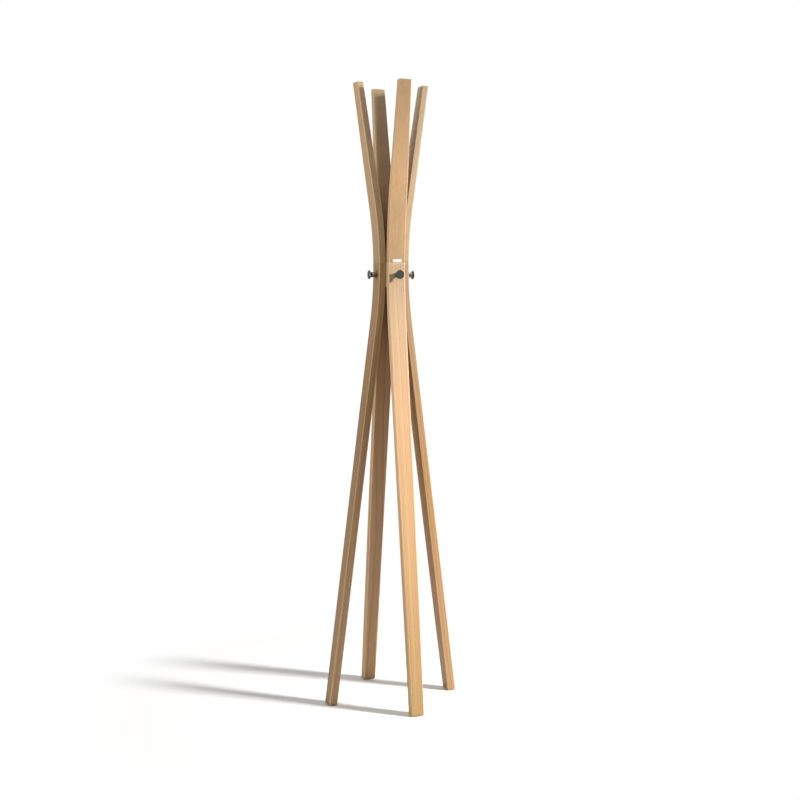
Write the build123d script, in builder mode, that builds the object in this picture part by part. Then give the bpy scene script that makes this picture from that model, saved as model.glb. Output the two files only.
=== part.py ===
from build123d import *
from math import acos, atan2, cos, sin
import os

# Free-standing coat rack, in millimetres. Four bowed beech slats stand on the four sides of a square
# hub block, and each slat is a lower leg and an upper arm that meet end to end at the block's top.
# A turned metal coat peg on each side clamps its leg to the block through a stud and an insert.
# The origin is on the floor on the rack's centre line, +Z is up, and the front slat faces -Y.

# The slat's bow, seen from the side: distances are from the centre line to the outer face
total_height = 1750
foot_radius = 198
waist_radius = 45
top_radius = 107.5
waist_height = 1240
bow_radius = 1190

# The slat's thickness, measured level, and its width, seen from the front
foot_thickness = 25
waist_thickness = 20
top_thickness = 18.5
foot_width = 36.9
waist_width = 49.4
top_width = 36
taper_heights = (980, 1450)
taper_radii = (34000, 6000)
arris_radius = 2.5
foot_easing = 2.5
top_easing = 0.8

# Hub block
block_side = 53
block_height = 68
block_chamfer = 0.8
peg_height = 1220.5
seam_height = peg_height + block_height / 2

# Coat pegs, studs and threaded inserts
peg_length = 22
peg_seat_depth = 0.5
shank_radius = 7
shank_length = 12.5
head_radius = 12.6
rim_thickness = 1.6
rim_rounding = 0.7
peg_bore_depth = 12.5
stud_radius = 4
stud_length = 42
thread_clearance = 0.05
insert_radius = 6
insert_length = 13

# Beech dowels: two between each leg and its arm, and two between each leg and the block
dowel_radius = 4
glue_gap = 0.05
arm_dowel_length = 40
arm_dowel_spacing = 24
hub_dowel_length = 24
hub_dowel_spacing = 44
dowel_end_gap = 0.5
dowel_chamfer = 0.8

# Foot glides
glide_height = 2
glide_radius = 9
glide_pin_radius = 2.5
glide_pin_length = 14

# Blank label plate, above the seam on the front arm
label_length = 29
label_width = 8.5
label_thickness = 0.8
label_height = seam_height + 4.5

sides = {"front": 0, "right": 90, "back": 180, "left": 270}
up = Vector(0, 0, 1)
bottom = (Align.CENTER, Align.CENTER, Align.MIN)


def outward(side):
    """Direction from the centre line out through one side's slat."""
    return Vector(0, -1, 0).rotate(Axis.Z, sides[side])


def profile_plane(side, height=0):
    """Upright plane through the centre line, from a height: x runs outward and y runs up."""
    return Plane(up * height, x_dir=outward(side), z_dir=outward(side).cross(up))


def face_plane(side, distance, height=0):
    """Upright plane that faces outward, at a distance from the centre line: y runs up."""
    origin = outward(side) * distance + up * height
    return Plane(origin, x_dir=up.cross(outward(side)), z_dir=outward(side))


def level_plane(side, distance, height=0):
    """Level plane at a distance from the centre line: y runs inward."""
    return Plane(outward(side) * distance + up * height, x_dir=up.cross(outward(side)))


def bow_points(foot, waist, top, radius):
    """Points of one face's line: foot, start, middle and end of the waist arc, and top."""
    centre = Vector(waist + radius, waist_height)

    def tangent_point(end, turn):
        away = end - centre
        angle = atan2(away.Y, away.X) + turn * acos(radius / away.length)
        return centre + Vector(radius * cos(angle), radius * sin(angle))

    foot_point = Vector(foot, 0)
    top_point = Vector(top, total_height)
    low = tangent_point(foot_point, -1)
    high = tangent_point(top_point, 1)
    return [foot_point, low, Vector(waist, waist_height), high, top_point]


def outer_face_radius(height):
    """Distance of a slat's outer face from the centre line, at a height on the waist arc."""
    rise = height - waist_height
    return waist_radius + bow_radius - (bow_radius**2 - rise**2) ** 0.5


outer_line = bow_points(foot_radius, waist_radius, top_radius, bow_radius)
inner_line = bow_points(
    foot_radius - foot_thickness,
    waist_radius - waist_thickness,
    top_radius - top_thickness,
    bow_radius + waist_thickness,
)
peg_seat = outer_face_radius(peg_height) - peg_seat_depth
dowel_line = waist_radius - waist_thickness / 2
glide_line = foot_radius - foot_thickness / 2


def build_slat(side):
    """One whole slat, from the glide to the top, with its long arrises rounded."""
    with BuildPart() as slat:
        with BuildSketch(profile_plane(side)):
            with BuildLine():
                for foot, low, middle, high, top in (outer_line, inner_line):
                    Line(foot, low)
                    ThreePointArc(low, middle, high)
                    Line(high, top)
                Line(outer_line[0], inner_line[0])
                Line(outer_line[-1], inner_line[-1])
            make_face()
        extrude(amount=waist_width / 2, both=True)
        with BuildSketch(face_plane(side, 0)):
            with BuildLine():
                FilletPolyline(
                    (foot_width / 2, 0),
                    (waist_width / 2, taper_heights[0]),
                    (waist_width / 2, taper_heights[1]),
                    (top_width / 2, total_height),
                    radius=taper_radii,
                )
                mirror(about=Plane.YZ)
                Line((-foot_width / 2, 0), (foot_width / 2, 0))
                Line((-top_width / 2, total_height), (top_width / 2, total_height))
            make_face()
        extrude(amount=foot_radius, mode=Mode.INTERSECT)
        split(bisect_by=Plane.XY.offset(glide_height), keep=Keep.TOP)
        long_edges = slat.edges().filter_by(lambda edge: edge.bounding_box().size.Z > foot_easing)
        fillet(long_edges, arris_radius)
    return slat.part


def drill_arm_dowels(side):
    """Dowel holes across the seam, cut from the part being built."""
    with Locations(level_plane(side, dowel_line, seam_height)):
        with GridLocations(arm_dowel_spacing, 0, 2, 1):
            Cylinder(dowel_radius + glue_gap, arm_dowel_length + 2 * dowel_end_gap, mode=Mode.SUBTRACT)


def drill_hub_dowels(side):
    """Dowel holes across the joint with the block, cut from the part being built."""
    with Locations(face_plane(side, block_side / 2, peg_height)):
        with GridLocations(0, hub_dowel_spacing, 1, 2):
            Cylinder(dowel_radius + glue_gap, hub_dowel_length + 2 * dowel_end_gap, mode=Mode.SUBTRACT)


def build_leg(side):
    """Lower half of a slat, with its seat for the block and its drilled holes."""
    pin_hole_depth = glide_height + glide_pin_length + dowel_end_gap
    with BuildPart() as leg:
        add(build_slat(side))
        split(bisect_by=Plane.XY.offset(seam_height), keep=Keep.BOTTOM)
        fillet(leg.faces().sort_by(Axis.Z)[0].edges(), foot_easing)
        with Locations((0, 0, peg_height)):
            Box(block_side, block_side, block_height, mode=Mode.SUBTRACT)
        with Locations(face_plane(side, peg_seat, peg_height)):
            Cylinder(stud_radius + thread_clearance, 2 * waist_thickness, mode=Mode.SUBTRACT)
            Cylinder(shank_radius + thread_clearance, 2 * peg_seat_depth, align=bottom, mode=Mode.SUBTRACT)
        drill_hub_dowels(side)
        drill_arm_dowels(side)
        with Locations(level_plane(side, glide_line)):
            Cylinder(glide_pin_radius + glue_gap, pin_hole_depth, align=bottom, mode=Mode.SUBTRACT)
    return leg.part


def build_arm(side):
    """Upper half of a slat, with the dowel holes in its lower end."""
    with BuildPart() as arm:
        add(build_slat(side))
        split(bisect_by=Plane.XY.offset(seam_height), keep=Keep.TOP)
        chamfer(arm.faces().sort_by(Axis.Z)[-1].edges(), top_easing)
        drill_arm_dowels(side)
    return arm.part


def build_arm_dowels(side):
    """The two upright dowels that join an arm to its leg."""
    with BuildPart() as dowels:
        with Locations(level_plane(side, dowel_line, seam_height)):
            with GridLocations(arm_dowel_spacing, 0, 2, 1):
                Cylinder(dowel_radius, arm_dowel_length)
        chamfer(dowels.edges().filter_by(GeomType.CIRCLE), dowel_chamfer)
    return dowels.part


def build_hub_dowels(side):
    """The two level dowels that locate a leg on the block."""
    with BuildPart() as dowels:
        with Locations(face_plane(side, block_side / 2, peg_height)):
            with GridLocations(0, hub_dowel_spacing, 1, 2):
                Cylinder(dowel_radius, hub_dowel_length)
        chamfer(dowels.edges().filter_by(GeomType.CIRCLE), dowel_chamfer)
    return dowels.part


def build_hub_block():
    """The square block, bored on its four sides for the inserts and the dowels."""
    with BuildPart() as block:
        with Locations((0, 0, peg_height)):
            Box(block_side, block_side, block_height)
        chamfer(block.edges().filter_by(Axis.Z), block_chamfer)
        for side in sides:
            with Locations(face_plane(side, block_side / 2, peg_height)):
                Cylinder(insert_radius, 2 * insert_length, mode=Mode.SUBTRACT)
            drill_hub_dowels(side)
    return block.part


def build_peg(side):
    """Turned peg: a plain shank that flares like a trumpet into a disc head, with a blind bore."""
    tip = outer_face_radius(peg_height) + peg_length
    flare_start = (peg_seat + shank_length, shank_radius)
    flare_end = (tip - rim_thickness, head_radius)
    with BuildPart() as peg:
        with BuildSketch(profile_plane(side, peg_height)):
            with BuildLine():
                Polyline(flare_start, (peg_seat, shank_radius), (peg_seat, 0), (tip, 0))
                Polyline((tip, 0), (tip, head_radius), flare_end)
                TangentArc(flare_start, flare_end, tangent=(1, 0))
            make_face()
        revolve(axis=Axis(up * peg_height, outward(side)))
        fillet(peg.edges().filter_by(GeomType.CIRCLE).group_by(SortBy.RADIUS)[-1], rim_rounding)
        with Locations(face_plane(side, peg_seat, peg_height)):
            Cylinder(stud_radius + thread_clearance, 2 * peg_bore_depth, mode=Mode.SUBTRACT)
    return peg.part


def build_stud(side):
    """Threaded stud between a peg and its insert, drawn at its outside diameter."""
    tip = peg_seat + peg_bore_depth - dowel_end_gap
    with BuildPart() as stud:
        with Locations(face_plane(side, tip - stud_length / 2, peg_height)):
            Cylinder(stud_radius, stud_length)
        chamfer(stud.edges().filter_by(GeomType.CIRCLE), dowel_chamfer)
    return stud.part


def build_insert(side):
    """Brass threaded insert, flush with the block's side."""
    with BuildPart() as insert:
        with Locations(face_plane(side, (block_side - insert_length) / 2, peg_height)):
            Cylinder(insert_radius, insert_length)
            Cylinder(stud_radius + thread_clearance, insert_length, mode=Mode.SUBTRACT)
    return insert.part


def build_glide(side):
    """Plastic glide under a leg, with the pin that holds it."""
    with BuildPart() as glide:
        with Locations(level_plane(side, glide_line)):
            Cylinder(glide_radius, glide_height, align=bottom)
            Cylinder(glide_pin_radius, glide_height + glide_pin_length, align=bottom)
        fillet(glide.edges().sort_by(Axis.Z)[0], glide_height / 4)
    return glide.part


def build_label():
    """Blank plate with round ends, its back bowed to the front arm's face."""
    with BuildPart() as label:
        with BuildSketch(face_plane("front", waist_radius - label_thickness, label_height)):
            SlotOverall(label_length, label_width)
        extrude(amount=2 * label_thickness + outer_face_radius(label_height) - waist_radius)
        add(build_slat("front"), mode=Mode.SUBTRACT)
    return label.part


def save(part, name):
    """Label one sub-part and write its STEP file."""
    part.label = name
    export_step(part, f"parts/{name}.step")


os.makedirs("parts", exist_ok=True)
for side in sides:
    save(build_leg(side), f"leg_{side}")
    save(build_arm(side), f"arm_{side}")
    save(build_arm_dowels(side), f"arm_dowels_{side}")
    save(build_hub_dowels(side), f"hub_dowels_{side}")
    save(build_peg(side), f"coat_peg_{side}")
    save(build_stud(side), f"peg_stud_{side}")
    save(build_insert(side), f"threaded_insert_{side}")
    save(build_glide(side), f"foot_glide_{side}")
save(build_hub_block(), "hub_block")
save(build_label(), "label_plate")
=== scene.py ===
import math

import bmesh
import bpy
import numpy as np
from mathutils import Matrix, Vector, noise


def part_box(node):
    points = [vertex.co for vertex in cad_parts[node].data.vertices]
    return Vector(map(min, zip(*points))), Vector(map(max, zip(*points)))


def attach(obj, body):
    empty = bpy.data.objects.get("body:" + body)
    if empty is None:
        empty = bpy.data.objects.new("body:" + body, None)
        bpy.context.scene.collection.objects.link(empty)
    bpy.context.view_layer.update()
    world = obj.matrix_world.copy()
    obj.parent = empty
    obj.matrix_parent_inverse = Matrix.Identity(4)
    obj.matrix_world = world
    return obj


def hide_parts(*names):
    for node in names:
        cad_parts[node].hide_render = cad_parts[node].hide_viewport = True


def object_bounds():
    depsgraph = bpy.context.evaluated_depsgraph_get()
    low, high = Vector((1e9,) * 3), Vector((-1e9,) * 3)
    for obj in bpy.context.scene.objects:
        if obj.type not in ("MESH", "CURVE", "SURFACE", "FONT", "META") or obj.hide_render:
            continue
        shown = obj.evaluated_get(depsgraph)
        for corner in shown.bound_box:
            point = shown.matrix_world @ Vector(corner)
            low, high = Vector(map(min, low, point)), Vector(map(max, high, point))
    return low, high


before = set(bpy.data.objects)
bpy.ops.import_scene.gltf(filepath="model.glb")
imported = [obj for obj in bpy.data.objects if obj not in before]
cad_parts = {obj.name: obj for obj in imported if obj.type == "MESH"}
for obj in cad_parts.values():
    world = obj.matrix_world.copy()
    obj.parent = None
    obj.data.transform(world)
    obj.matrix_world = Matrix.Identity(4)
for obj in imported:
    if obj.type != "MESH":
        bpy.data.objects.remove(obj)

# The coat rack's looks, in metres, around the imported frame. Every wooden piece, peg and plate is its own
# mesh that follows the CAD node it replaces. The hidden hardware keeps its CAD mesh.
cad_low, cad_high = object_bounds()
MM = 0.001
SIDES = {"front": 0, "right": 90, "back": 180, "left": 270}

# The slat's bow: distances from the centre line to the outer and to the inner face
TOTAL_HEIGHT = cad_high.z
WAIST_HEIGHT = 1.240
OUTER_BOW = {"foot": 0.198, "waist": 0.045, "top": 0.1075, "radius": 1.19}
INNER_BOW = {"foot": 0.173, "waist": 0.025, "top": 0.089, "radius": 1.21}

# The slat's half width: a straight taper below and above a parallel waist, joined by slow bends
FOOT_HALF_WIDTH = 0.01845
WAIST_HALF_WIDTH = 0.0247
TOP_HALF_WIDTH = 0.018
LOWER_TAPER = {"height": 0.980, "bend": 0.108}
UPPER_TAPER = {"height": 1.450, "bend": 0.067}
ARRIS_RADIUS = 2.5 * MM
FOOT_EASING = 2.5 * MM
TOP_EASING = 0.8 * MM
SEAM_EASING = 0.25 * MM
SEAM_GAP = 0.01 * MM
SMALLEST_RADIUS = 0.2 * MM
STATION_STEP = 9 * MM
SEAT_STEP = 0.1 * MM

# Hand finishing leaves the faces very slightly uneven: how far, in how many cells per metre, and how
# many cells a metre in the place of a board's pith moves its waves by
HAND_WAVE = 0.08 * MM
WAVE_CELLS = (14, 14, 9)
WAVE_SHIFT = 50

# The turned peg and the bore for its stud
SHANK_RADIUS = 7 * MM
SHANK_LENGTH = 12.5 * MM
SEAT_CHAMFER = 0.4 * MM
RIM_THICKNESS = 1.6 * MM
RIM_ROUNDING = 0.7 * MM
FACE_DISH = 0.12 * MM
BORE_RADIUS = 4.05 * MM
BORE_DEPTH = 12.5 * MM
BORE_CHAMFER = 0.3 * MM
LATHE_CENTRE = 0.02 * MM
LATHE_STEPS = 72

# The block's rim. The label plate's rounded rim, its gap to the arm and its slightly crowned face
BLOCK_CHAMFER = 0.8 * MM
LABEL_RIM = 0.35 * MM
LABEL_GAP = 0.02 * MM
LABEL_CROWN = 0.02 * MM
LABEL_STEPS = 64

# Places read from the frame
FOOT_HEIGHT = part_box("leg_front")[0].z
SEAM_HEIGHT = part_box("leg_front")[1].z
BLOCK_LOW, BLOCK_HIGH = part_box("hub_block")
BLOCK_HALF = BLOCK_HIGH.x
PEG_LOW, PEG_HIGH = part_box("coat_peg_front")
PEG_HEIGHT = (PEG_LOW.z + PEG_HIGH.z) / 2
PEG_SEAT = -PEG_HIGH.y
PEG_TIP = -PEG_LOW.y
HEAD_RADIUS = PEG_HIGH.x
LABEL_LOW, LABEL_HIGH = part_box("label_plate")

# The block's colour, and the place of its log's pith across and out
BLOCK_TINT = (0.62, 0.41, 0.23)
BLOCK_PITH = (-0.06, -0.045)

# The wood's figure, as shares of a piece's own colour, and its coat
PALER = (1.12, 1.13, 1.18, 1)
DARKER = (0.84, 0.80, 0.74, 1)
RAY_FLECK = (0.55, 0.46, 0.40, 1)
# Paler rounded arrises: partly sanded wear, partly a painted highlight along the edges
SANDED_AND_HIGHLIGHT = (1.34, 1.42, 1.54, 1)
LACQUER = {"IOR": 1.46, "Coat Weight": 0.12, "Coat Roughness": 0.30}

# Painted light on the slats: the narrow side faces are tinted paler than the wide ones, a painted sheen.
# The inner faces are tinted darker round the waist, up to a reach above and below it: painted shade
# between the slats
SIDE_SHEEN_TINT = (1.20, 1.26, 1.33)
WAIST_SHADE_TINT = (0.45, 0.36, 0.25)
WAIST_SHADE_REACH = 0.24


# ---------------------------------------------------------------- the slat's shape

def bow_line(foot, waist, top, radius):
    """A function from height to the distance of one face: a straight, the waist arc and a straight."""
    centre = waist + radius

    def touch(end_distance, end_height, turn):
        away = (end_distance - centre, end_height - WAIST_HEIGHT)
        angle = math.atan2(away[1], away[0]) + turn * math.acos(radius / math.hypot(*away))
        return centre + radius * math.cos(angle), WAIST_HEIGHT + radius * math.sin(angle)

    low_distance, low_height = touch(foot, 0, -1)
    high_distance, high_height = touch(top, TOTAL_HEIGHT, 1)

    def distance(height):
        if height < low_height:
            return foot + (low_distance - foot) * height / low_height
        if height > high_height:
            share = (height - high_height) / (TOTAL_HEIGHT - high_height)
            return high_distance + (top - high_distance) * share
        return centre - math.sqrt(radius**2 - (height - WAIST_HEIGHT) ** 2)

    return distance


outer_face = bow_line(**OUTER_BOW)
inner_face = bow_line(**INNER_BOW)


def middle_line(height):
    """The distance from the centre line to the middle of the slat's thickness."""
    return (outer_face(height) + inner_face(height)) / 2


def softened(height, corner, slope, bend):
    """How far a line has turned away past a corner: zero before it, a straight slope after it."""
    past = height - corner
    if past <= -bend:
        return 0.0
    if past >= bend:
        return slope * past
    return slope * (past + bend) ** 2 / (4 * bend)


def half_width(height):
    """Half the slat's width at a height."""
    lower_slope = (WAIST_HALF_WIDTH - FOOT_HALF_WIDTH) / LOWER_TAPER["height"]
    upper_slope = (WAIST_HALF_WIDTH - TOP_HALF_WIDTH) / (TOTAL_HEIGHT - UPPER_TAPER["height"])
    width = FOOT_HALF_WIDTH + lower_slope * height
    width -= softened(height, LOWER_TAPER["height"], lower_slope, LOWER_TAPER["bend"])
    width -= softened(height, UPPER_TAPER["height"], upper_slope, UPPER_TAPER["bend"])
    return width


def rounded_outline(half, inner, outer, radius, arc_steps=6, wide_points=3, deep_points=1):
    """A rounded rectangle as (across, out, arris) rows. Arris is 1 on the rounded corners.
    A support point close to each arc keeps the flat faces flat under smooth shading."""
    support = 0.25 * radius
    corners = [(1, 1, 0), (-1, 1, 90), (-1, -1, 180), (1, -1, 270)]
    rows = []
    for index, (across_sign, out_sign, start) in enumerate(corners):
        centre_across = across_sign * (half - radius)
        centre_out = (outer if out_sign > 0 else inner) - out_sign * radius
        for step in range(arc_steps + 1):
            angle = math.radians(start + 90 * step / arc_steps)
            across = centre_across + radius * math.cos(angle)
            rows.append((across, centre_out + radius * math.sin(angle), 1.0))
        is_wide = index % 2 == 0
        length = (2 * half if is_wide else outer - inner) - 2 * radius
        heading = math.radians(start + 180)
        count = wide_points if is_wide else deep_points
        middles = [support + (length - 2 * support) * (k + 1) / (count + 1) for k in range(count)]
        last_across, last_out, _ = rows[-1]
        for along in [support, *middles, length - support]:
            across = last_across + along * math.cos(heading)
            rows.append((across, last_out + along * math.sin(heading), 0.0))
    return np.array(rows)


def slat_outline(height, inset=0.0):
    """The slat's section at a height, drawn in by an easing's inset."""
    inner = inner_face(height)
    if BLOCK_LOW.z < height <= SEAM_HEIGHT:
        inner = max(inner, BLOCK_HALF)
    radius = max(ARRIS_RADIUS - inset, SMALLEST_RADIUS)
    return rounded_outline(half_width(height) - inset, inner + inset, outer_face(height) - inset, radius)


def eased_end(height, radius, direction, steps=5):
    """Stations of a rounded end: height and inset, from the end's flat face inwards."""
    stations = []
    for step in range(steps + 1):
        angle = math.radians(90 * step / steps)
        rise = radius * (1 - math.cos(angle))
        stations.append((height + direction * rise, radius * (1 - math.sin(angle))))
    return stations


# ---------------------------------------------------------------- meshes

def axes(side):
    """Directions across a slat and out from the centre line, for one side."""
    angle = math.radians(SIDES[side])
    return Vector((math.cos(angle), math.sin(angle), 0)), Vector((math.sin(angle), -math.cos(angle), 0))


def place(side, across, out, up):
    """A point of the frame from a side's own coordinates."""
    across_axis, out_axis = axes(side)
    return across * across_axis + out * out_axis + Vector((0, 0, up))


def finish_mesh(name, bm, smooth_angle=30):
    """Turns a bmesh into an object in the scene, smooth except along its sharp edges."""
    bmesh.ops.recalc_face_normals(bm, faces=bm.faces)
    mesh = bpy.data.meshes.new(name)
    bm.to_mesh(mesh)
    bm.free()
    mesh.polygons.foreach_set("use_smooth", [True] * len(mesh.polygons))
    mesh.set_sharp_from_angle(angle=math.radians(smooth_angle))
    obj = bpy.data.objects.new(name, mesh)
    bpy.context.scene.collection.objects.link(obj)
    return obj


def loft(rings):
    """A closed bmesh through rings of points, with a flat face at both ends."""
    bm = bmesh.new()
    loops = [[bm.verts.new(point) for point in ring] for ring in rings]
    for lower, upper in zip(loops, loops[1:]):
        for k in range(len(lower)):
            after = (k + 1) % len(lower)
            bm.faces.new((lower[k], lower[after], upper[after], upper[k]))
    bm.faces.new(loops[0])
    bm.faces.new(loops[-1])
    return bm


def write_points(obj, name, kind, values):
    """Stores one value for each point of a mesh, under a name that the materials read."""
    layer = obj.data.attributes.new(name, kind, "POINT")
    field = "vector" if kind == "FLOAT_VECTOR" else "value"
    layer.data.foreach_set(field, np.asarray(values, np.float32).ravel())


def face_light_tint(across, out, height):
    """Painted light for a point of the slat's section: a paler painted sheen on the narrow sides,
    and painted shade on the inner faces round the waist.
    """
    # Painted sheen: the narrow sides are tinted paler
    if abs(across) > half_width(height) - 0.3 * ARRIS_RADIUS:
        return SIDE_SHEEN_TINT
    if out > inner_face(height) + ARRIS_RADIUS:
        return (1, 1, 1)
    # Painted shade: the inner faces darken towards the waist, where the slats shade each other
    shade_share = max(0.0, 1 - abs(height - WAIST_HEIGHT) / WAIST_SHADE_REACH)
    return [1 + (dark - 1) * shade_share for dark in WAIST_SHADE_TINT]


def build_slat_piece(name, side, stations, axis_heights, pith, tints):
    """One leg or arm. Its grain runs straight, along the line between two heights of its middle line,
    and is measured from the pith of the log that it was sawn from. Its colour drifts through its tints
    from the low end to the high one; the tints hold painted light and shade as well as the wood's tone."""
    low, high = axis_heights
    lean = (middle_line(high) - middle_line(low)) / (high - low)
    stretch = math.hypot(1, lean)
    tint_heights = np.linspace(stations[0][0], stations[-1][0], len(tints))
    rings, grain, arris, tint = [], [], [], []
    for height, inset in stations:
        ring = []
        colour = [np.interp(height, tint_heights, channel) for channel in zip(*tints)]
        for across, out, on_arris in slat_outline(height, inset):
            spot = Vector((across, out, height)) * Vector(WAVE_CELLS) + Vector(pith) * WAVE_SHIFT
            swell = HAND_WAVE * noise.noise(spot)
            across += math.copysign(swell, across) if abs(across) > 1e-4 else 0
            ring.append(place(side, across, out, height))
            depth = (out - middle_line(low) - lean * (height - low)) / stretch
            grain.append((across - pith[0], depth - pith[1], height * stretch + pith[2]))
            arris.append(on_arris)
            face = face_light_tint(across, out, height)
            tint.append([shade * part for shade, part in zip(colour, face)])
        rings.append(ring)
    obj = finish_mesh(name, loft(rings))
    write_points(obj, "grain", "FLOAT_VECTOR", grain)
    write_points(obj, "arris", "FLOAT", arris)
    write_points(obj, "tint", "FLOAT_VECTOR", tint)
    return obj


def between(low, high):
    """Evenly spaced heights strictly between two heights."""
    count = max(1, round((high - low) / STATION_STEP))
    return [low + (high - low) * k / count for k in range(1, count)]


def leg_stations():
    """Heights and insets up a leg, with a step in its inner face at the block's underside."""
    foot = eased_end(FOOT_HEIGHT, FOOT_EASING, 1)
    seat = [BLOCK_LOW.z - SEAT_STEP, BLOCK_LOW.z + SEAT_STEP]
    top = eased_end(SEAM_HEIGHT, SEAM_EASING, -1, steps=2)
    heights = [*between(foot[-1][0], seat[0]), *seat, *between(seat[1], top[-1][0])]
    return [*foot, *[(height, 0.0) for height in heights], *reversed(top)]


def arm_stations():
    """Heights and insets up an arm, which starts a hair's breadth above the leg."""
    seam = eased_end(SEAM_HEIGHT, SEAM_EASING, 1, steps=2)
    seam = [(max(height, SEAM_HEIGHT + SEAM_GAP), inset) for height, inset in seam]
    top = eased_end(TOTAL_HEIGHT, TOP_EASING, -1, steps=3)
    heights = between(seam[-1][0], top[-1][0])
    return [*seam, *[(height, 0.0) for height in heights], *reversed(top)]


def build_block():
    """The hub block: its upright corners and its top and bottom rims are lightly chamfered."""
    heights = [
        (BLOCK_LOW.z, BLOCK_CHAMFER),
        (BLOCK_LOW.z + BLOCK_CHAMFER, 0.0),
        (PEG_HEIGHT, 0.0),
        (BLOCK_HIGH.z - BLOCK_CHAMFER, 0.0),
        (BLOCK_HIGH.z, BLOCK_CHAMFER),
    ]
    rings, grain, arris = [], [], []
    for height, inset in heights:
        half = BLOCK_HALF - inset
        outline = rounded_outline(half, -half, half, BLOCK_CHAMFER, arc_steps=2, deep_points=3)
        rings.append([Vector((across, out, height)) for across, out, _ in outline])
        grain += [(across - BLOCK_PITH[0], out - BLOCK_PITH[1], height) for across, out, _ in outline]
        arris += [on_arris for _, _, on_arris in outline]
    obj = finish_mesh("chamfered_block", loft(rings))
    write_points(obj, "grain", "FLOAT_VECTOR", grain)
    write_points(obj, "arris", "FLOAT", arris)
    write_points(obj, "tint", "FLOAT_VECTOR", [BLOCK_TINT] * len(arris))
    return obj


def peg_profile():
    """The turned peg's outline as (out, radius) pairs, from the middle of its bore's end, over its
    seat, shank, flare and rim, to the middle of its face."""
    bore_end = PEG_SEAT + BORE_DEPTH
    profile = [
        (bore_end, LATHE_CENTRE),
        (bore_end, BORE_RADIUS - BORE_CHAMFER),
        (bore_end - BORE_CHAMFER, BORE_RADIUS),
        (PEG_SEAT, BORE_RADIUS),
        (PEG_SEAT, SHANK_RADIUS - SEAT_CHAMFER),
        (PEG_SEAT + SEAT_CHAMFER, SHANK_RADIUS),
    ]
    profile += [(PEG_SEAT + SHANK_LENGTH * share, SHANK_RADIUS) for share in (0.3, 0.6, 0.85, 1.0)]

    flare_start = PEG_SEAT + SHANK_LENGTH
    flare_end = PEG_TIP - RIM_THICKNESS
    run = flare_end - flare_start
    rise = HEAD_RADIUS - SHANK_RADIUS
    flare_radius = (run**2 + rise**2) / (2 * rise)
    flare_steps = 14
    for step in range(1, flare_steps + 1):
        along = run * step / flare_steps
        radius = SHANK_RADIUS + flare_radius - math.sqrt(flare_radius**2 - along**2)
        profile.append((flare_start + along, radius))

    face = HEAD_RADIUS - RIM_ROUNDING
    rim_steps = 6
    for corner_out, turn in ((flare_end + RIM_ROUNDING, 180), (PEG_TIP - RIM_ROUNDING, 90)):
        for step in range(rim_steps + 1):
            angle = math.radians(turn - 90 * step / rim_steps)
            out = corner_out + RIM_ROUNDING * math.cos(angle)
            profile.append((out, face + RIM_ROUNDING * math.sin(angle)))
    for share, depth in ((0.93, 0.0), (0.88, 0.6), (0.8, 1.0)):
        profile.append((PEG_TIP - depth * FACE_DISH, face * share))
    for share in (0.6, 0.4, 0.2, 0.07):
        profile.append((PEG_TIP - FACE_DISH * (1 - 0.5 * (1 - share**2)), face * share))
    return profile


def build_peg(side):
    """A lathe-turned peg, hollow for its stud, with its face dished inside a raised rim."""
    angles = [math.tau * k / LATHE_STEPS for k in range(LATHE_STEPS)]
    rings, turned = [], []
    for out, radius in peg_profile():
        rings.append([
            place(side, radius * math.cos(angle), out, PEG_HEIGHT + radius * math.sin(angle))
            for angle in angles
        ])
        turned += [(out - PEG_SEAT, radius, 0)] * LATHE_STEPS
    obj = finish_mesh(f"turned_peg_{side}", loft(rings), smooth_angle=40)
    write_points(obj, "turned", "FLOAT_VECTOR", turned)
    return obj


def build_label():
    """The blank plate: round ends, a rounded rim and a back that follows the arm's face."""
    half_length = LABEL_HIGH.x
    half_height = (LABEL_HIGH.z - LABEL_LOW.z) / 2
    middle = (LABEL_HIGH.z + LABEL_LOW.z) / 2
    front = -LABEL_LOW.y
    layers = [
        (0.0, None),
        (0.0, front - LABEL_RIM),
        (0.1 * MM, front - 0.35 * LABEL_RIM),
        (LABEL_RIM, front),
        (0.4 * half_height, front + LABEL_CROWN),
    ]
    rings = []
    for inset, out in layers:
        ring = []
        radius = half_height - inset
        for k in range(LABEL_STEPS):
            angle = math.tau * k / LABEL_STEPS
            centre = math.copysign(half_length - half_height, math.cos(angle))
            across = centre + radius * math.cos(angle)
            up = middle + radius * math.sin(angle)
            depth = outer_face(up) + LABEL_GAP if out is None else out
            ring.append(place("front", across, depth, up))
        rings.append(ring)
    return finish_mesh("blank_label", loft(rings), smooth_angle=50)


# ---------------------------------------------------------------- materials

def put(tree, kind, inputs=None, **settings):
    """Adds one shader node. An input is a plain value or another node's output."""
    made = tree.nodes.new("ShaderNode" + kind)
    for key, value in settings.items():
        setattr(made, key, value)
    for key, value in (inputs or {}).items():
        if isinstance(value, bpy.types.NodeSocket):
            tree.links.new(value, made.inputs[key])
        else:
            made.inputs[key].default_value = value
    return made


def new_material(name):
    """A material with a Principled shader, and its node tree."""
    material = bpy.data.materials.new(name)
    material.use_nodes = True
    tree = material.node_tree
    tree.nodes.clear()
    shader = put(tree, "BsdfPrincipled")
    put(tree, "OutputMaterial", {"Surface": shader.outputs[0]})
    return material, tree, shader


def attribute(tree, name, output):
    return put(tree, "Attribute", attribute_name=name).outputs[output]


def maths(tree, operation, first, second=0.0):
    return put(tree, "Math", {0: first, 1: second}, operation=operation).outputs[0]


def scaled(tree, vector, scale):
    """A vector stretched by its own factor along each axis."""
    return put(tree, "VectorMath", {0: vector, 1: scale}, operation="MULTIPLY").outputs[0]


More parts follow.
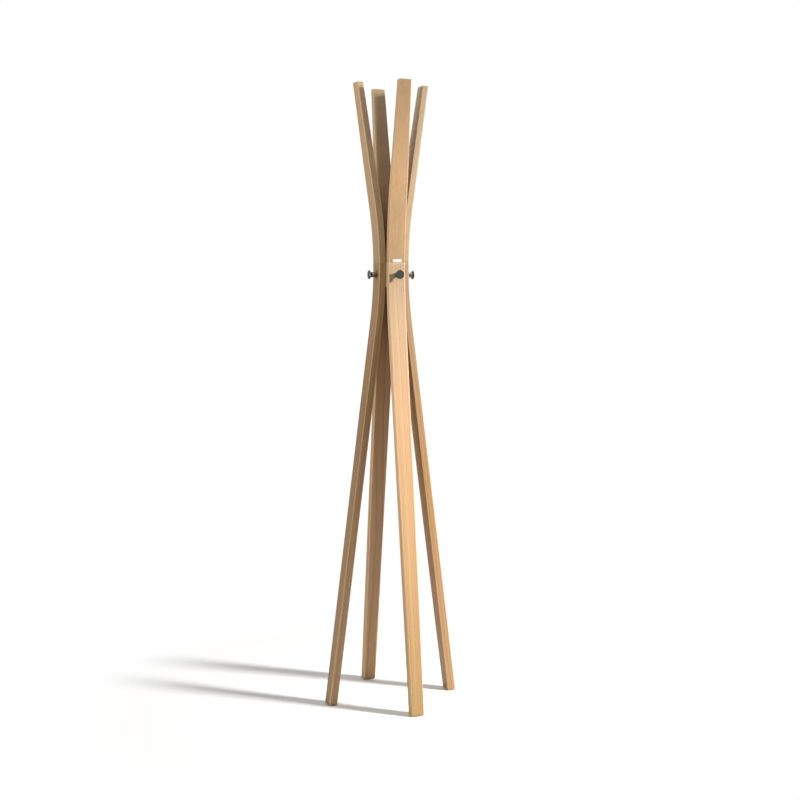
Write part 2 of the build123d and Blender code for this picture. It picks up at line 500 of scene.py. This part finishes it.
def speckle(tree, vector, scale, detail=2.0, roughness=0.5):
    """Noise from 0 to 1 over a vector stretched by scale, in cells per metre."""
    inputs = {"Vector": scaled(tree, vector, scale), "Scale": 1.0}
    inputs |= {"Detail": detail, "Roughness": roughness}
    return put(tree, "TexNoise", inputs).outputs["Fac"]


def spread(tree, value, low, high, to_low=0.0, to_high=1.0):
    """Maps a range of values to another, clamped at both ends and eased between them."""
    inputs = {"Value": value, "From Min": low, "From Max": high, "To Min": to_low, "To Max": to_high}
    return put(tree, "MapRange", inputs, interpolation_type="SMOOTHSTEP").outputs[0]


def blended(tree, share, first, second, how="MIX"):
    """Two colours mixed by a share of the second."""
    made = put(tree, "Mix", data_type="RGBA", blend_type=how)
    for socket, value in ((0, share), (6, first), (7, second)):
        if isinstance(value, bpy.types.NodeSocket):
            tree.links.new(value, made.inputs[socket])
        else:
            made.inputs[socket].default_value = value
    return made.outputs[2]


def bumped(tree, height, distance):
    """A fine relief, as deep as distance."""
    return put(tree, "Bump", {"Height": height, "Distance": distance, "Strength": 1.0}).outputs[0]


def beech(name, ring_spacing, ring_contrast, cloudiness):
    """Lacquered beech, solid through the piece: year rings round the pith, long fibres, broad streaks
    along the grain and the short dark ray flecks of beech, under a thin satin coat. The piece's tint is
    its average colour with painted light and shade in it, and the figure moves it between a paler and a
    darker wood. Ring contrast sets how far the year rings show, and cloudiness how far the soft patches
    between them do."""
    material, tree, shader = new_material(name)
    grain = attribute(tree, "grain", "Vector")
    slow = scaled(tree, grain, (7, 7, 1.7))
    drift = put(tree, "TexNoise", {"Vector": slow, "Scale": 1.0, "Detail": 1.5}).outputs["Color"]
    centred = put(tree, "VectorMath", {0: drift, 1: (0.5, 0.5, 0.5)}, operation="SUBTRACT")
    wander = scaled(tree, centred.outputs[0], (10 * MM, 10 * MM, 0))
    wood = put(tree, "VectorMath", {0: grain, 1: wander}, operation="ADD").outputs[0]

    flat = scaled(tree, wood, (1, 1, 0))
    radius = put(tree, "VectorMath", {0: flat}, operation="LENGTH").outputs["Value"]
    along_radius = maths(tree, "MULTIPLY", radius, 95.0)
    inputs = {"W": along_radius, "Scale": 1.0, "Detail": 1.0}
    uneven = put(tree, "TexNoise", inputs, noise_dimensions="1D").outputs["Fac"]
    years = maths(tree, "ADD", maths(tree, "DIVIDE", radius, ring_spacing), uneven)
    season = maths(tree, "FRACT", years)
    latewood = maths(tree, "MULTIPLY", spread(tree, season, 0.45, 0.9), spread(tree, season, 1.0, 0.93))
    year = maths(tree, "FLOOR", years)
    year_tone = put(tree, "TexWhiteNoise", {"W": year}, noise_dimensions="1D").outputs[0]

    streak = speckle(tree, wood, (130, 130, 1.1), detail=3.0, roughness=0.6)
    fibre = speckle(tree, grain, (1500, 1500, 22), detail=2.5, roughness=0.6)
    mottle = speckle(tree, grain, (9, 9, 2.6), detail=2.0)
    cell = scaled(tree, grain, (620, 620, 130))
    cells = put(tree, "TexVoronoi", {"Vector": cell, "Scale": 1.0, "Randomness": 1.0}).outputs["Distance"]
    here = speckle(tree, grain, (60, 60, 18), detail=1.0)
    fleck = maths(tree, "MULTIPLY", spread(tree, cells, 0.34, 0.12), spread(tree, here, 0.42, 0.62))

    curl = speckle(tree, wood, (45, 45, 26), detail=3.0, roughness=0.6)
    share = maths(tree, "MULTIPLY", latewood, 0.34 * ring_contrast)
    weights = (
        (year_tone, 0.20 * ring_contrast),
        (streak, 0.20 + 0.22 * ring_contrast),
        (fibre, 0.22),
        (mottle, 0.16 + 0.20 * cloudiness),
        (curl, 0.24 * cloudiness),
    )
    for value, weight in weights:
        share = maths(tree, "ADD", share, maths(tree, "MULTIPLY", value, weight))
    # The tint holds painted light and shade: sheen on the sides, shade round the waist, lit and shaded
    # boards
    tint = attribute(tree, "tint", "Color")
    middle = 0.39 + 0.18 * ring_contrast + 0.22 * cloudiness
    half_range = 0.45
    share = spread(tree, share, middle - half_range, middle + half_range)
    figure = blended(tree, share, PALER, DARKER)
    figure = blended(tree, maths(tree, "MULTIPLY", fleck, 0.5), figure, RAY_FLECK)
    # The arrises are paler: partly sanded wear, partly a painted highlight
    arris = attribute(tree, "arris", "Fac")
    worn_and_highlight = maths(tree, "MULTIPLY", arris, spread(tree, mottle, 0.25, 0.7, 0.55, 0.95))
    figure = blended(tree, worn_and_highlight, figure, SANDED_AND_HIGHLIGHT)
    tree.links.new(blended(tree, 1.0, tint, figure, how="MULTIPLY"), shader.inputs["Base Color"])

    rough = spread(tree, fibre, 0.2, 0.8, 0.40, 0.50)
    rough = maths(tree, "ADD", rough, maths(tree, "MULTIPLY", fleck, 0.06))
    tree.links.new(rough, shader.inputs["Roughness"])
    relief = maths(tree, "MULTIPLY", fibre, 0.7)
    relief = maths(tree, "ADD", relief, maths(tree, "MULTIPLY", latewood, 0.3))
    relief = maths(tree, "SUBTRACT", relief, maths(tree, "MULTIPLY", fleck, 0.35))
    tree.links.new(bumped(tree, relief, 0.035 * MM), shader.inputs["Normal"])
    for socket, value in LACQUER.items():
        shader.inputs[socket].default_value = value
    return material


def peg_metal():
    """Polished dark nickel over fine turning marks."""
    material, tree, shader = new_material("peg_metal_finish")
    turned = attribute(tree, "turned", "Vector")
    marks = speckle(tree, turned, (5200, 5200, 0), detail=2.0, roughness=0.7)
    haze = speckle(tree, put(tree, "TexCoord").outputs["Object"], (160, 160, 160), detail=3.0)
    colour = blended(tree, haze, (0.15, 0.165, 0.15, 1), (0.22, 0.235, 0.215, 1))
    tree.links.new(colour, shader.inputs["Base Color"])
    rough = spread(tree, haze, 0.3, 0.7, 0.05, 0.11)
    rough = maths(tree, "ADD", rough, maths(tree, "MULTIPLY", marks, 0.05))
    tree.links.new(rough, shader.inputs["Roughness"])
    tree.links.new(bumped(tree, marks, 0.006 * MM), shader.inputs["Normal"])
    shader.inputs["Metallic"].default_value = 1.0
    return material


def plain_metal(name, dark, light, roughness, thread_pitch=None):
    """Turned hardware metal, with a thread's ridges where a pitch is given."""
    material, tree, shader = new_material(name)
    spot = put(tree, "TexCoord").outputs["Object"]
    haze = speckle(tree, spot, (260, 260, 260), detail=3.0)
    tree.links.new(blended(tree, haze, dark, light), shader.inputs["Base Color"])
    rough = spread(tree, haze, 0.3, 0.7, roughness, roughness + 0.12)
    tree.links.new(rough, shader.inputs["Roughness"])
    relief = haze
    if thread_pitch:
        across, out, _ = put(tree, "SeparateXYZ", {0: spot}).outputs
        along = maths(tree, "ADD", maths(tree, "ABSOLUTE", across), maths(tree, "ABSOLUTE", out))
        relief = maths(tree, "PINGPONG", maths(tree, "DIVIDE", along, thread_pitch), 0.5)
    tree.links.new(bumped(tree, relief, 0.1 * MM), shader.inputs["Normal"])
    shader.inputs["Metallic"].default_value = 1.0
    return material


def plastic(name, base, variation, roughness):
    """Moulded plastic with a fine even texture."""
    material, tree, shader = new_material(name)
    spot = put(tree, "TexCoord").outputs["Object"]
    cloud = speckle(tree, spot, (120, 120, 120), detail=3.0)
    texture = speckle(tree, spot, (2600, 2600, 2600), detail=1.0)
    tree.links.new(blended(tree, cloud, base, variation), shader.inputs["Base Color"])
    rough = spread(tree, texture, 0.3, 0.7, roughness, roughness + 0.1)
    tree.links.new(rough, shader.inputs["Roughness"])
    tree.links.new(bumped(tree, texture, 0.01 * MM), shader.inputs["Normal"])
    return material


def bare_beech():
    """Unlacquered dowel beech, with its grain along the dowel's flutes."""
    material, tree, shader = new_material("dowel_beech_finish")
    spot = put(tree, "TexCoord").outputs["Object"]
    fibre = speckle(tree, spot, (700, 700, 60), detail=3.0)
    colour = blended(tree, fibre, (0.60, 0.42, 0.25, 1), (0.46, 0.29, 0.15, 1))
    tree.links.new(colour, shader.inputs["Base Color"])
    tree.links.new(spread(tree, fibre, 0.2, 0.8, 0.6, 0.75), shader.inputs["Roughness"])
    tree.links.new(bumped(tree, fibre, 0.08 * MM), shader.inputs["Normal"])
    return material


# ---------------------------------------------------------------- the pieces

LEG_WOOD = beech("leg_beech_finish", ring_spacing=5.5 * MM, ring_contrast=1.4, cloudiness=0.3)
ARM_WOOD = beech("arm_beech_finish", ring_spacing=5.5 * MM, ring_contrast=0.35, cloudiness=2.6)
BLOCK_WOOD = beech("block_beech_finish", ring_spacing=4 * MM, ring_contrast=1.0, cloudiness=0.2)
PEG_METAL = peg_metal()

# The grain runs along the straight line between these two heights of the slat's middle line
LEG_AXIS = (0.0, 1.0)
ARM_AXIS = (1.4, TOTAL_HEIGHT)

# Each leg's and arm's own board: the pith's place across, in depth and along, and the average colours
# from its low end to its high one. These colours are partly the wood's own tone and partly painted light
# and shade: each board, and each stretch along it, is made lighter or darker as the light falls on it
LEG_BOARDS = {
    "front": (
        (-0.145, -0.030, 0.3),
        [(0.50, 0.31, 0.13), (0.60, 0.365, 0.175), (0.66, 0.405, 0.205), (0.53, 0.36, 0.205)],
    ),
    "right": ((0.120, -0.060, 2.1), [(0.43, 0.25, 0.117), (0.36, 0.192, 0.076), (0.31, 0.195, 0.103)]),
    "back": ((0.030, -0.110, 4.7), [(0.52, 0.315, 0.155), (0.52, 0.315, 0.155), (0.42, 0.25, 0.12)]),
    "left": (
        (-0.090, 0.070, 6.9),
        [(0.43, 0.25, 0.118), (0.44, 0.26, 0.12), (0.325, 0.18, 0.072), (0.37, 0.215, 0.088)],
    ),
}
ARM_BOARDS = {
    "front": ((0.150, -0.060, 9.2), [(0.44, 0.275, 0.13), (0.60, 0.36, 0.18), (0.46, 0.285, 0.14)]),
    "right": ((-0.130, 0.040, 11.6), [(0.39, 0.26, 0.135)]),
    "back": ((0.080, 0.090, 13.1), [(0.38, 0.25, 0.13), (0.44, 0.30, 0.165)]),
    "left": ((-0.050, -0.100, 15.4), [(0.41, 0.26, 0.125), (0.58, 0.375, 0.195)]),
}


def add_piece(obj, material, slot, *nodes):
    """Gives a piece its material and body, and hides the CAD nodes that it stands for."""
    obj.data.materials.append(material)
    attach(obj, "root")
    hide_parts(*nodes)


for side in SIDES:
    leg = build_slat_piece(f"beech_leg_{side}", side, leg_stations(), LEG_AXIS, *LEG_BOARDS[side])
    add_piece(leg, LEG_WOOD, "leg_beech", f"leg_{side}")
    arm = build_slat_piece(f"beech_arm_{side}", side, arm_stations(), ARM_AXIS, *ARM_BOARDS[side])
    add_piece(arm, ARM_WOOD, "arm_beech", f"arm_{side}")
    add_piece(build_peg(side), PEG_METAL, "peg_metal", f"coat_peg_{side}")
add_piece(build_block(), BLOCK_WOOD, "block_beech", "hub_block")
add_piece(
    build_label(),
    plastic("label_finish", (0.70, 0.70, 0.69, 1), (0.76, 0.76, 0.75, 1), 0.35),
    "label_plastic",
    "label_plate",
)

# The hidden hardware keeps its CAD meshes
HARDWARE = {
    "arm_dowels": bare_beech(),
    "hub_dowels": bare_beech(),
    "peg_stud": plain_metal(
        "stud_finish", (0.50, 0.51, 0.53, 1), (0.62, 0.63, 0.65, 1), 0.3, thread_pitch=1.25 * MM
    ),
    "threaded_insert": plain_metal("insert_finish", (0.66, 0.48, 0.20, 1), (0.78, 0.60, 0.30, 1), 0.3),
    "foot_glide": plastic("glide_finish", (0.075, 0.048, 0.03, 1), (0.10, 0.065, 0.04, 1), 0.5),
}
for kind, material in HARDWARE.items():
    for side in SIDES:
        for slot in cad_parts[f"{kind}_{side}"].material_slots:
            slot.material = material


# ---------------------------------------------------------------- floor, light and camera

# The backdrop's white, and the floor's: its albedo to light, the brighter one that the camera is shown,
# and the distances from the rack between which what the camera is shown fades to the backdrop's white
WHITE = 1.02
FLOOR_ALBEDO = (0.78, 0.78, 0.78, 1)
FLOOR_SEEN = (1.12, 1.12, 1.12, 1)
FLOOR_FADE = (0.5, 0.98)
FLOOR_SIZE = 60

# The studio's light on matt surfaces and in reflections, from the walls to the ceiling
MATT_LIGHT = (0.14, 0.42)
GLOSSY_LIGHT = (0.40, 2.2)

# The soft boxes: a small key high in front and to the right, and a weak broader fill on the left
LIGHTS = {
    "key_box": {
        "place_at": (1.92, -1.72, 2.07),
        "aim_at": (0, 0, 0.35),
        "size": 0.40,
        "energy": 31,
        "colour": (1.0, 0.985, 0.955),
        "spread_angle": 90,
    },
    "fill_box": {
        "place_at": (-3.0, 0.5, 1.1),
        "aim_at": (0, 0, 1.4),
        "size": 0.8,
        "energy": 5.2,
        "colour": (1.0, 1.0, 1.0),
        "spread_angle": 60,
    },
}

# The camera's turn from straight ahead, its tip below the level, its place and its lens
CAMERA_TURN = math.radians(22.591)
CAMERA_TIP = math.radians(4.793)
CAMERA_SIDEWAYS = 0.0255
CAMERA_DISTANCE = 3.6567
CAMERA_HEIGHT = 1.1715
CAMERA_LENS = 57.87


def build_floor():
    """A white floor that takes the rack's shadows. To the camera it fades to plain white further out."""
    bm = bmesh.new()
    bmesh.ops.create_grid(bm, x_segments=8, y_segments=8, size=FLOOR_SIZE)
    floor = finish_mesh("studio_floor", bm)
    material = bpy.data.materials.new("studio_floor_white")
    material.use_nodes = True
    tree = material.node_tree
    tree.nodes.clear()
    camera_ray = put(tree, "LightPath").outputs["Is Camera Ray"]
    spot = put(tree, "TexCoord").outputs["Object"]
    reach = put(tree, "VectorMath", {0: spot}, operation="LENGTH").outputs["Value"]
    away = maths(tree, "MULTIPLY", spread(tree, reach, *FLOOR_FADE), camera_ray)
    white = blended(tree, camera_ray, FLOOR_ALBEDO, FLOOR_SEEN)
    paper = put(tree, "BsdfDiffuse", {"Color": white})
    glow = put(tree, "Emission", {"Color": (1, 1, 1, 1), "Strength": WHITE})
    mix = put(tree, "MixShader", {0: away, 1: paper.outputs[0], 2: glow.outputs[0]})
    put(tree, "OutputMaterial", {"Surface": mix.outputs[0]})
    floor.data.materials.append(material)


def build_world():
    """White to the camera. As light, a ceiling that is brighter than the walls."""
    world = bpy.data.worlds.new("studio")
    bpy.context.scene.world = world
    world.use_nodes = True
    tree = world.node_tree
    tree.nodes.clear()
    direction = put(tree, "TexCoord").outputs["Generated"]
    height = put(tree, "SeparateXYZ", {0: direction}).outputs[2]
    strength = spread(tree, height, 0.0, 0.7, *MATT_LIGHT)
    sheen = spread(tree, height, 0.1, 0.6, *GLOSSY_LIGHT)
    glossy_ray = put(tree, "LightPath").outputs["Is Glossy Ray"]
    strength = put(tree, "Mix", {0: glossy_ray, 2: strength, 3: sheen}).outputs[0]
    light = put(tree, "Background", {"Color": (1, 1, 1, 1), "Strength": strength})
    seen = put(tree, "Background", {"Color": (1, 1, 1, 1), "Strength": WHITE})
    camera_ray = put(tree, "LightPath").outputs["Is Camera Ray"]
    mix = put(tree, "MixShader", {0: camera_ray, 1: light.outputs[0], 2: seen.outputs[0]})
    put(tree, "OutputWorld", {"Surface": mix.outputs[0]})


def add_light(name, place_at, aim_at, size, energy, colour, spread_angle):
    """One round soft box, turned towards a point."""
    light = bpy.data.lights.new(name, "AREA")
    light.shape = "DISK"
    light.size = size
    light.spread = math.radians(spread_angle)
    light.energy = energy
    light.color = colour
    lamp = bpy.data.objects.new(name, light)
    lamp.location = place_at
    lamp.rotation_euler = (Vector(aim_at) - lamp.location).to_track_quat("-Z", "Y").to_euler()
    bpy.context.scene.collection.objects.link(lamp)


def build_camera():
    """The camera stands to the left of the front slat, a little below the pegs."""
    ahead = Vector((math.sin(CAMERA_TURN), math.cos(CAMERA_TURN), 0))
    right = Vector((math.cos(CAMERA_TURN), -math.sin(CAMERA_TURN), 0))
    data = bpy.data.cameras.new("camera")
    data.sensor_width = 36
    data.lens = CAMERA_LENS
    camera = bpy.data.objects.new("camera", data)
    camera.location = right * CAMERA_SIDEWAYS - ahead * CAMERA_DISTANCE + Vector((0, 0, CAMERA_HEIGHT))
    camera.rotation_euler = (math.pi / 2 - CAMERA_TIP, 0, -CAMERA_TURN)
    bpy.context.scene.collection.objects.link(camera)
    bpy.context.scene.camera = camera


build_floor()
build_world()
for name, settings in LIGHTS.items():
    add_light(name, **settings)
build_camera()
bpy.context.scene.view_settings.view_transform = "Standard"
